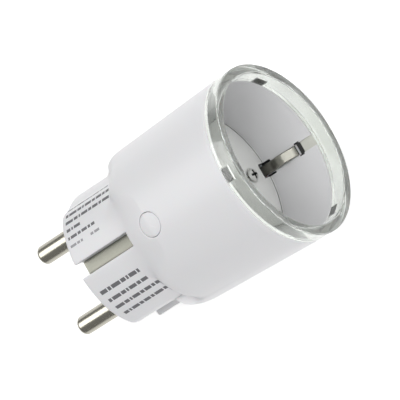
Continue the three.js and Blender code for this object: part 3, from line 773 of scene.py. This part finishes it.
def make_housing():
    rows = housing_rows()
    rings = [section(*row) for row in rows]
    count = len(rings[0])

    # rounded front edge, then the inner skin back to the plug face
    skin_end = rings[-1]
    for i in range(1, 4):
        turn = i / 3 * math.pi / 2
        keep = 1 - END_ROUND * (1 - math.cos(turn)) / MOUTH_RADIUS
        depth = HOUSING_END - END_ROUND * (1 - math.sin(turn))
        rings.append([(x * keep, depth, z * keep) for x, _, z in skin_end])
    middle = section(24.0, EVEN, EVEN)
    angles = [math.atan2(z, x) for x, _, z in middle]

    def inner(depth, fixed_radius=None):
        made = []
        for angle in angles:
            radius = fixed_radius or cavity_radius(angle, depth)
            made.append((radius * math.cos(angle), depth, radius * math.sin(angle)))
        return made

    block_depths = [r[0] for r in rows if abs(r[0] - BUTTON_DEPTH) < BLOCK_REACH]
    inner_depths = [40.0, 34.0, 18.8, 18.6, 17.0, 15.0, 13.7, 13.5, 12.4, 7.0, FACE_WALL]
    inner_depths = sorted(set(inner_depths + block_depths), reverse=True)
    mouth_rows = (
        (HOUSING_END, LEDGE_RADIUS), (LEDGE_DEPTH, LEDGE_RADIUS), (LEDGE_DEPTH, CAVITY_RADIUS),
    )
    rings += [inner(depth, radius) for depth, radius in mouth_rows]
    first_inner = len(rings)
    rings += [inner(depth) for depth in inner_depths]

    points = [p for ring in rings for p in ring]
    faces = []
    block_cols = [i for i, (x, _, z) in enumerate(middle) if z > 0 and abs(x) < BLOCK_REACH]
    outer_block = [i for i, r in enumerate(rows) if r[0] in block_depths]
    inner_block = [first_inner + i for i, d in enumerate(inner_depths) if d in block_depths]

    def in_block(ring, col):
        in_rows = ring in outer_block[:-1] or ring in inner_block[:-1]
        return in_rows and col in block_cols[:-1]

    for ring in range(len(rings) - 1):
        for col in range(count):
            if not in_block(ring, col):
                nxt = (col + 1) % count
                a, b = ring * count, (ring + 1) * count
                faces.append((a + col, a + nxt, b + nxt, b + col))

    def loop_of(block):
        """The indices of the points round the edge of a block."""
        block = sorted(block, key=lambda r: rings[r][0][1])
        first, last = block_cols[0], block_cols[-1]
        path = [(block[0], c) for c in block_cols]
        path += [(r, last) for r in block[1:]]
        path += [(block[-1], c) for c in reversed(block_cols[:-1])]
        path += [(r, first) for r in reversed(block[1:-1])]
        return [r * count + c for r, c in path]

    def add_ring(previous, ring):
        start = len(points)
        points.extend(ring)
        size = len(ring)
        for i in range(size):
            j = (i + 1) % size
            faces.append((previous[i], previous[j], start + j, start + i))
        return list(range(start, start + size))

    def hole_rings(loop, radii_and_drops, height):
        """Rings from the block's edge to the round hole; height(x, depth) is the skin."""
        edge = [points[i] for i in loop]
        turns = [math.atan2(d - BUTTON_DEPTH, x) for x, d, _ in edge]
        previous = loop
        outer_radius = radii_and_drops[0][0]
        for t in (0.25, 0.5, 0.75):
            ring = []
            for (x, d, _), turn in zip(edge, turns):
                x = lerp(x, outer_radius * math.cos(turn), t)
                d = lerp(d, BUTTON_DEPTH + outer_radius * math.sin(turn), t)
                ring.append((x, d, height(x, d)))
            previous = add_ring(previous, ring)
        for radius, drop in radii_and_drops:
            ring = []
            for turn in turns:
                x, d = radius * math.cos(turn), BUTTON_DEPTH + radius * math.sin(turn)
                ring.append((x, d, height(x, d) - drop))
            previous = add_ring(previous, ring)
        return previous

    soft = 0.1
    mouth = hole_rings(
        loop_of(outer_block),
        [(BUTTON_HOLE + soft, 0), (BUTTON_HOLE + soft * 0.3, soft * 0.3), (BUTTON_HOLE, soft)],
        top_skin,
    )

    def top_cavity(x, depth):
        return math.sqrt(cavity_radius(math.pi / 2, depth) ** 2 - x * x)

    throat = hole_rings(loop_of(inner_block), [(BUTTON_HOLE, 0)], top_cavity)
    for i in range(len(mouth)):
        j = (i + 1) % len(mouth)
        faces.append((mouth[i], mouth[j], throat[j], throat[i]))

    hole_starts = add_pin_holes(points, faces)
    mesh = bpy.data.meshes.new("housing_shell")
    mesh.from_pydata([(x * MM, -d * MM, z * MM) for x, d, z in points], [], faces)
    work = bmesh.new()
    work.from_mesh(mesh)
    work.verts.ensure_lookup_table()
    # the plug face and the inside of its wall
    fill_face(work, 0, count, hole_starts[:2])
    fill_face(work, (len(rings) - 1) * count, count, hole_starts[4:])
    bmesh.ops.remove_doubles(work, verts=work.verts, dist=1e-7)
    bmesh.ops.recalc_face_normals(work, faces=work.faces)
    work.to_mesh(mesh)
    work.free()
    obj = bpy.data.objects.new("housing_shell", mesh)
    bpy.context.scene.collection.objects.link(obj)
    dress(obj, WHITE, 40)
    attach(obj, "base")
    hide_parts("housing")


make_housing()


# ---------------------------------------------------------------- button
def make_button():
    sides = 96
    soft = 0.12
    collar_radius, collar_top, underside = 3.5, 18.95, 18.45
    # (radius, height or None for the skin, drop below it)
    rings = [(r, None, 0.0) for r in (0.4, 0.9, 1.4, 1.9, 2.4, BUTTON_RADIUS - soft)]
    rings += [(BUTTON_RADIUS - soft * 0.3, None, soft * 0.3), (BUTTON_RADIUS, None, soft)]
    rings += [(BUTTON_RADIUS, collar_top, 0), (collar_radius, collar_top, 0)]
    rings += [(collar_radius, underside, 0), (1.2, underside, 0)]
    points, faces = [], []
    for radius, height, drop in rings:
        for i in range(sides):
            turn = 2 * math.pi * i / sides
            x, depth = radius * math.cos(turn), BUTTON_DEPTH + radius * math.sin(turn)
            points.append((x, depth, (top_skin(x, depth) if height is None else height) - drop))
    for row in range(len(rings) - 1):
        bridge(faces, row * sides, (row + 1) * sides, sides)
    points.append((0, BUTTON_DEPTH, top_skin(0, BUTTON_DEPTH)))
    points.append((0, BUTTON_DEPTH, underside))
    last_row = (len(rings) - 1) * sides
    for i in range(sides):
        j = (i + 1) % sides
        faces.append((i, j, len(points) - 2))
        faces.append((last_row + i, last_row + j, len(points) - 1))
    make("button_face", points, faces, "button", WHITE, ["button_cap"])


make_button()


# ---------------------------------------------------------------- recess
def rod(profile, sides, x=0.0, z=0.0):
    """Points and faces of a solid turned shape whose profile starts and ends on its axis."""
    points, faces = turned(profile[1:-1], sides, x, z, round_axis=False)
    points += [(x, profile[0][1], z), (x, profile[-1][1], z)]
    low_end, high_end = len(points) - 2, len(points) - 1
    high_row = (len(profile) - 3) * sides
    for i in range(sides):
        j = (i + 1) % sides
        faces.append((j, i, low_end))
        faces.append((high_row + i, high_row + j, high_end))
    return points, faces


def box_points(x0, d0, z0, x1, d1, z1):
    points = [(x, d, z) for x in (x0, x1) for d in (d0, d1) for z in (z0, z1)]
    faces = [(0, 1, 3, 2), (4, 6, 7, 5), (0, 4, 5, 1), (2, 3, 7, 6), (0, 2, 6, 4), (1, 5, 7, 3)]
    return points, faces


def cutter(points, faces):
    return make("cutter", points, faces, None, WHITE)


def make_insert():
    back = FLOOR_DEPTH - 1.6
    through = 30
    over = FLOOR_DEPTH + 1
    seam_radius, seam_bottom = FLOOR_RADIUS - FLOOR_SEAM, FLOOR_DEPTH - FLOOR_SEAM_DEEP
    hole, hole_mouth = 2.75, 3.75
    well, well_mouth = 1.1, 1.95
    outline = [
        (0.6, back, 0), (INSERT_RADIUS, back, 0.5), (INSERT_RADIUS, LEDGE_DEPTH, 0),
        (INSERT_MOUTH_RADIUS, LEDGE_DEPTH + 0.1, 0), (INSERT_MOUTH_RADIUS, HOUSING_END, 0.12),
        (RECESS_RADIUS, HOUSING_END, 0.2), (FLOOR_RADIUS, seam_bottom, 0.08),
        (seam_radius, seam_bottom, 0.08), (seam_radius, FLOOR_DEPTH, 0.12),
    ]
    # rings across the floor keep its cuts clean
    outline += [(radius, FLOOR_DEPTH, 0) for radius in (16.1, 14.0, 9.8, 5.6, 3.0, 0.6)]
    points, faces = rod([(0, back), *rounded(outline), (0, FLOOR_DEPTH)], 192)
    obj = make("recess_insert", points, faces, "base", INSERT_WHITE_PAINTED_LIGHT_SHADE, ["socket_insert"])
    # half width, depths from and to, least and greatest distance from the axis
    clip_cuts = (
        (CLIP_HALF + 0.12, through, GAP_START + 0.05, 16.2, 22.0),
        (FOOT_HALF, through, FOOT_END, FOOT_NEAR, 19.8),
        (CHANNEL_HALF, GAP_START + 0.5, 52, 18.0, 19.62),
        (GAP_HALF, GAP_START, GAP_END, 18.0, 19.8),
    )
    cutters = []
    for sign in (-1, 1):
        hole_profile = [
            (0, over), (hole_mouth, over), (hole, FLOOR_DEPTH - 0.35), (hole, through), (0, through),
        ]
        cutters.append(cutter(*rod(hole_profile, 64, x=sign * PIN_X)))
        well_profile = [
            (0, over), (well_mouth, over), (well_mouth, FLOOR_DEPTH - 0.3), (well, FLOOR_DEPTH - 0.6),
            (well, through), (0, through),
        ]
        cutters.append(cutter(*rod(well_profile, 48, z=sign * SCREW_Z)))
        for half, start, stop, near, far in clip_cuts:
            low, high = sorted((sign * near, sign * far))
            cutters.append(cutter(*box_points(-half, start, low, half, stop, high)))
    carve(obj, cutters, INSERT_WHITE_PAINTED_LIGHT_SHADE, 30)


make_insert()


# ---------------------------------------------------------------- clear ring
def spun(point, degrees):
    """An (x, depth, z) point turned about the plug's axis, from +Z towards +X."""
    x, depth, z = point
    c, s = math.cos(math.radians(degrees)), math.sin(math.radians(degrees))
    return (x * c + z * s, depth, z * c - x * s)


def make_ring():
    inner, outer, back = 19.3, MOUTH_RADIUS + 0.03, HOUSING_END + 0.1
    profile = rounded(
        [(inner, back, 0.1), (outer, back, 0.1), (outer, BODY_LENGTH, 0.42), (inner, BODY_LENGTH, 0.42)],
        steps=6,
    )
    points, faces = turned(profile, 192)
    obj = make("clear_ring", points, faces, "base", CLEAR, ["light_ring"], sharp=50)
    half = LAMP_HALF + 0.2
    pocket, pocket_faces = box_points(
        -half, LAMP_BACK - 1, LAMP_INNER - 0.05, half, LAMP_FRONT + 0.2, LAMP_OUTER + 0.15
    )
    cutters = [cutter([spun(p, turn) for p in pocket], pocket_faces) for turn in LAMP_TURNS]
    carve(obj, cutters, CLEAR, 40)


make_ring()


# ---------------------------------------------------------------- pins, strips, clips, screws
def make_pin(side, name):
    tip, shank_end = -19.0, 14.6
    collar_radius, collar_start, collar_end = 3.4, 2.5, 3.9
    shank_radius = 1.5
    profile = [(0, tip), (0.7, tip)]
    for i in range(9):
        turn = i / 8 * math.pi / 2
        profile.append((lerp(1.3, PIN_RADIUS, math.sin(turn)), tip + 1.1 * (1 - math.cos(turn))))
    profile += [(PIN_RADIUS, d) for d in (-16, -12, -8, -4, 0, collar_start)]
    profile += [(collar_radius, collar_start), (collar_radius, collar_end), (shank_radius, collar_end)]
    profile += [(shank_radius, shank_end), (0, shank_end)]
    points, faces = rod(profile, 64, x=side * PIN_X)
    make(f"{name}_turned", points, faces, "base", NICKEL, [name], sharp=30)


make_pin(1, "plug_pin_right")
make_pin(-1, "plug_pin_left")


def sheet_faces(first, rows, across):
    """Faces of a closed sheet: two layers of rows of across + 1 points, from the index first on."""
    row = across + 1
    other = rows * row
    faces = []
    for i in range(rows - 1):
        a = first + i * row
        for k in range(a, a + across):
            faces.append((k, k + 1, k + row + 1, k + row))
            faces.append((other + k, other + k + row, other + k + row + 1, other + k + 1))
        for k in (a, a + across):
            faces.append((k, k + row, other + k + row, other + k))
    for a in (first, first + (rows - 1) * row):
        for k in range(a, a + across):
            faces.append((k, k + 1, other + k + 1, other + k))
    return faces


def strip(name, path, half, thick, body, material, node, sign, dimple=None):
    """A metal strip with soft edges along (z, depth) points; dimple is a (depth, height) pair."""
    across = 12
    dimple_reach = 0.55
    soften = thick * 0.35
    points = []
    for side in (1, -1):
        for i, (z, d) in enumerate(path):
            before, after = path[max(0, i - 1)], path[min(len(path) - 1, i + 1)]
            tangent = Vector((after[0] - before[0], after[1] - before[1])).normalized()
            normal = Vector((-tangent[1], tangent[0]))
            for k in range(across + 1):
                share = 2 * k / across - 1
                x = half * share
                near_edge = max(0.0, 1 - half * (1 - abs(share)) / soften)
                lift = thick / 2 - soften * near_edge**2 * 0.8
                if dimple and side == 1:
                    lift += dimple[1] * math.exp(-((math.hypot(x, d - dimple[0]) / dimple_reach) ** 4))
                points.append((x, d + side * normal[1] * lift, sign * (z + side * normal[0] * lift)))
    make(name, points, sheet_faces(0, len(path), across), body, material, [node], sharp=32)


ENDS = ((1, "top"), (-1, "bottom"))
strip_path = [(STRIP_MID, d) for d in spaced(0.5, 17.4, 0.5)]
for sign, end in ENDS:
    strip(
        f"earth_strip_{end}_plate", strip_path, STRIP_HALF, STRIP_THICK, "base", STRIP_NICKEL_PAINTED_SHADE,
        f"earth_strip_{end}", sign,
    )

clip_path = [(CLIP_REST, 31.6 + i) for i in range(5)]
for i in range(41):
    bulge = CLIP_BULGE * math.sin(i / 40 * math.pi) ** 2
    clip_path.append((CLIP_REST - bulge, 36.5 + i / 40 * 8.3))
for sign, end in ENDS:
    strip(
        f"earth_clip_{end}_spring", clip_path, CLIP_HALF, CLIP_THICK, f"clip_{end}", CLIP_NICKEL,
        f"earth_clip_{end}", sign, dimple=(41.2, 0.12),
    )


def make_screw(sign, end):
    bottom, shank_radius = 29.8, 1.0
    seat = FLOOR_DEPTH + 0.1
    rim = seat + 0.3
    dome = 0.5
    head = SCREW_HEAD_RADIUS
    profile = [
        (0, bottom), (shank_radius, bottom), (shank_radius, seat), (head - 0.1, seat), (head, seat + 0.1),
        (head, rim),
    ]
    for i in range(1, 7):
        turn = i / 6 * math.pi / 2
        profile.append((head - 1.1 * (1 - math.cos(turn)), rim + dome * math.sin(turn)))
    profile.append((0, rim + dome + 0.03))
    z = sign * SCREW_Z
    points, faces = rod(profile, 64, z=z)
    obj = make(
        f"floor_screw_{end}_head", points, faces, "base", SCREW_ZINC, [f"floor_screw_{end}"],
    )
    arms = [
        cutter(*box_points(-half_x, seat + 0.05, z - half_z, half_x, seat + 3, z + half_z))
        for half_x, half_z in ((CROSS_REACH, CROSS_HALF), (CROSS_HALF, CROSS_REACH))
    ]
    carve(obj, arms, SCREW_ZINC, 30)


for sign, end in ENDS:
    make_screw(sign, end)


# ---------------------------------------------------------------- lamps
def make_lamp(place, turn):
    """A lamp that faces outwards: a rounded body with a sunk lens."""
    lens_half, lens_back, lens_front = 1.1, LAMP_BACK + 1.2, LAMP_FRONT - 0.45
    outline = rounded(
        [
            (-LAMP_HALF, LAMP_BACK, 0.1), (LAMP_HALF, LAMP_BACK, 0.1),
            (LAMP_HALF, LAMP_FRONT, 0.25), (-LAMP_HALF, LAMP_FRONT, 0.25),
        ]
    )
    lens = rounded(
        [
            (-lens_half, lens_back, 0.2), (lens_half, lens_back, 0.2),
            (lens_half, lens_front, 0.2), (-lens_half, lens_front, 0.2),
        ]
    )
    shrunk = [(a * 0.97, lerp((LAMP_BACK + LAMP_FRONT) / 2, d, 0.97)) for a, d in outline]
    layers = [
        (outline, LAMP_INNER), (outline, LAMP_OUTER - 0.08), (shrunk, LAMP_OUTER),
        (lens, LAMP_OUTER), (lens, LAMP_OUTER - 0.2),
    ]
    points = [
        spun((across, depth, height), turn) for layer, height in layers for across, depth in layer
    ]
    count = len(outline)
    faces = [tuple(range(count))[::-1], tuple(range(4 * count, 5 * count))]
    for layer in range(len(layers) - 1):
        bridge(faces, layer * count, (layer + 1) * count, count)
    make(f"lamp_{place}", points, faces, "base", LED_BODY, [f"led_{place}"], sharp=30)


for place, turn in zip(("top", "lower_right", "lower_left"), LAMP_TURNS):
    make_lamp(place, turn)


# ---------------------------------------------------------------- print
# Rows of plain dashes: angle round the section, depths from and to, dash height, ink
PRINT_ROWS = (
    (38.5, 1.3, 14.6, 0.75, INK), (45.5, 1.4, 15.6, 0.75, INK), (51.6, 1.3, 15.6, 0.75, INK),
    (58.0, 1.3, 5.9, 0.7, INK), (64.2, 1.2, 9.9, 0.7, INK), (70.6, 1.2, 5.2, 0.6, FAINT_INK),
    (70.6, 7.9, 11.2, 0.6, FAINT_INK), (112.4, 1.9, 14.6, 1.0, INK), (120.6, 2.2, 15.2, 0.9, INK),
    (128.4, 2.1, 17.4, 0.9, INK), (136.6, 2.2, 17.4, 0.9, INK),
)
DASHES = (2.0, 0.9, 2.7, 1.4, 0.6, 2.3, 1.1)
DASH_GAP = 0.35


def make_print():
    across = 4
    for number, (angle, start, end, height, ink) in enumerate(PRINT_ROWS):
        points, faces = [], []
        depth, turn = start, number
        while depth < end - 0.5:
            stop = min(end, depth + DASHES[turn % len(DASHES)] * (0.5 + height / 2))
            columns = spaced(depth, stop, 0.3)
            faces += sheet_faces(len(points), len(columns), across)
            for layer in (-0.03, 0.025):
                for d in columns:
                    for k in range(across + 1):
                        here = math.radians(angle) + (k / across - 0.5) * height / PLUG_CORNER_RADIUS
                        radius = skin(here, d) + layer
                        points.append((radius * math.cos(here), d, radius * math.sin(here)))
            depth = stop + DASH_GAP
            turn += 1
        make(f"print_row_{number + 1}", points, faces, "base", ink)


make_print()


# ---------------------------------------------------------------- camera, light, floor
def look_from(azimuth, elevation, roll, aim, distance, lens):
    """The camera: angles in degrees, azimuth 0 looking along +Y, aim and distance in mm."""
    a, e, r = (math.radians(v) for v in (azimuth, elevation, roll))
    back = Vector((math.sin(a) * math.cos(e), -math.cos(a) * math.cos(e), math.sin(e)))
    level = (-back).cross(Vector((0, 0, 1))).normalized()
    upright = level.cross(-back)
    right = level * math.cos(r) + upright * math.sin(r)
    up = back.cross(right)
    data = bpy.data.cameras.new("camera")
    data.lens = lens
    data.sensor_width = 36
    data.clip_start = 0.01
    data.clip_end = 20
    camera = bpy.data.objects.new("camera", data)
    bpy.context.scene.collection.objects.link(camera)
    turn = Matrix((right, up, back)).transposed().to_4x4()
    camera.matrix_world = Matrix.Translation(Vector(aim) * MM + back * distance * MM) @ turn
    bpy.context.scene.camera = camera


look_from(
    azimuth=-8.62, elevation=56.22, roll=-112.52, aim=(1.06, -24.25, -4.69), distance=990.7, lens=387.3
)


def soft_light(name, direction, distance, size, watts):
    data = bpy.data.lights.new(name, "AREA")
    data.shape = "DISK"
    data.size = size
    data.energy = watts
    lamp = bpy.data.objects.new(name, data)
    bpy.context.scene.collection.objects.link(lamp)
    lamp.location = Vector(direction).normalized() * distance
    lamp.rotation_euler = Vector(direction).to_track_quat("Z", "Y").to_euler()
    return lamp


soft_light("key", direction=(0.1, -0.42, 0.92), distance=0.9, size=0.6, watts=5.4)
softbox = soft_light("rear_softbox", direction=(0.32, 0.58, 0.75), distance=0.8, size=0.62, watts=3.0)
softbox.visible_diffuse = False

world = bpy.data.worlds.new("studio")
bpy.context.scene.world = world
world.use_nodes = True
sky = world.node_tree.nodes["Background"]
sky.inputs["Color"].default_value = (1, 1, 1, 1)
sky.inputs["Strength"].default_value = 0.3

ground = bpy.data.meshes.new("ground")
reach = 3.0
corners = [(x * reach, y * reach, cad_low.z) for x, y in ((-1, -1), (1, -1), (1, 1), (-1, 1))]
ground.from_pydata(corners, [], [(0, 1, 2, 3)])
floor = bpy.data.objects.new("ground", ground)
bpy.context.scene.collection.objects.link(floor)
pale = bpy.data.materials.new("pale_floor")
pale.use_nodes = True
pale_shader = pale.node_tree.nodes["Principled BSDF"]
pale_shader.inputs["Base Color"].default_value = (0.95, 0.95, 0.95, 1)
pale_shader.inputs["Roughness"].default_value = 0.9
pale_shader.inputs["Specular IOR Level"].default_value = 0.0
pale_shader.inputs["Emission Color"].default_value = (1, 1, 1, 1)
pale_shader.inputs["Emission Strength"].default_value = 0.5
floor.data.materials.append(pale)

bpy.context.scene.view_settings.view_transform = "Standard"
